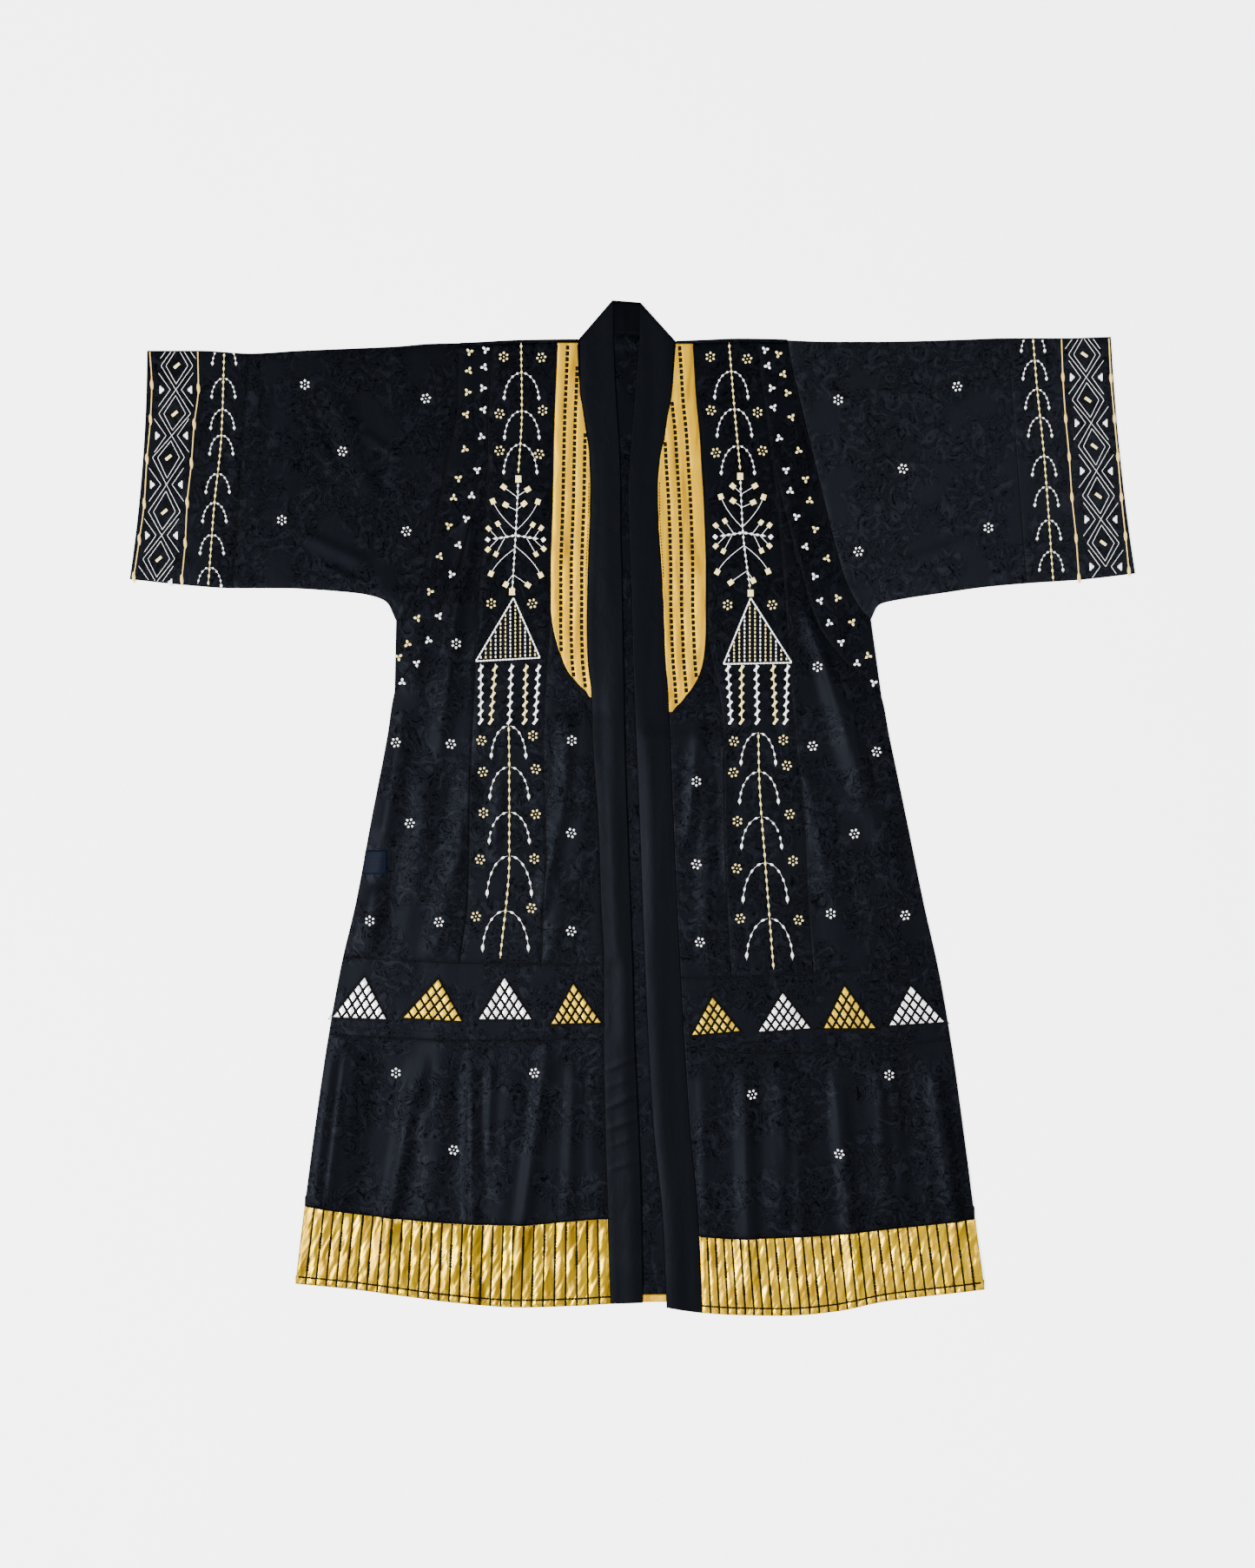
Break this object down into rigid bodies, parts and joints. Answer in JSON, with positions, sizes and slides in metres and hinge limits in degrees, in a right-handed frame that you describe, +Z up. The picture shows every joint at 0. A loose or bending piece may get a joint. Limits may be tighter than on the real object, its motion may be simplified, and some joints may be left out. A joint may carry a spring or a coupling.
{
  "type": "abaya",
  "caption": "Open-front abaya laid flat with its sleeves spread, in black satin with gold hem and neck panels, satin triangles on cross bands and embroidered cuffs.",
  "frame": {"origin": "on the surface the garment lies on, under the centre of its bounding box", "axes": "+X across the garment to the picture's right, +Y from the hem to the collar, +Z up from the surface towards the front of the garment"},
  "size_m": [1.446, 1.4605, 0.0102],
  "materials": {
    "satin_black": "near-black navy jacquard satin",
    "band_black": "plain black satin, doubled",
    "satin_gold": "crumpled gold satin",
    "satin_silver": "silver-grey satin",
    "label_navy": "woven navy tape"
  },
  "bodies": {
    "root": {"back_panel": "satin_black", "back_hem_band": "satin_gold", "collar_back": "band_black", "side_panel_left": "satin_black", "side_panel_right": "satin_black", "embroidered_left": "satin_black", "embroidered_right": "satin_black", "front_inner_left": "satin_black", "front_inner_right": "satin_black", "armhole_strip_left": "satin_black", "armhole_strip_right": "satin_black", "triangle_band_left": "satin_black", "triangle_band_right": "satin_black", "skirt_left": "satin_black", "skirt_right": "satin_black", "hem_band_left": "satin_gold", "hem_band_right": "satin_gold", "neck_gold_left": "satin_gold", "neck_gold_right": "satin_gold", "front_band_left": "band_black", "front_band_right": "band_black", "sleeve_left": "satin_black", "sleeve_right": "satin_black", "cuff_left": "satin_black", "cuff_right": "satin_black", "triangle_left_1": "satin_silver", "triangle_left_2": "satin_gold", "triangle_left_3": "satin_silver", "triangle_left_4": "satin_gold", "triangle_right_1": "satin_gold", "triangle_right_2": "satin_silver", "triangle_right_3": "satin_gold", "triangle_right_4": "satin_silver", "side_label": "label_navy"}
  },
  "joints": []
}
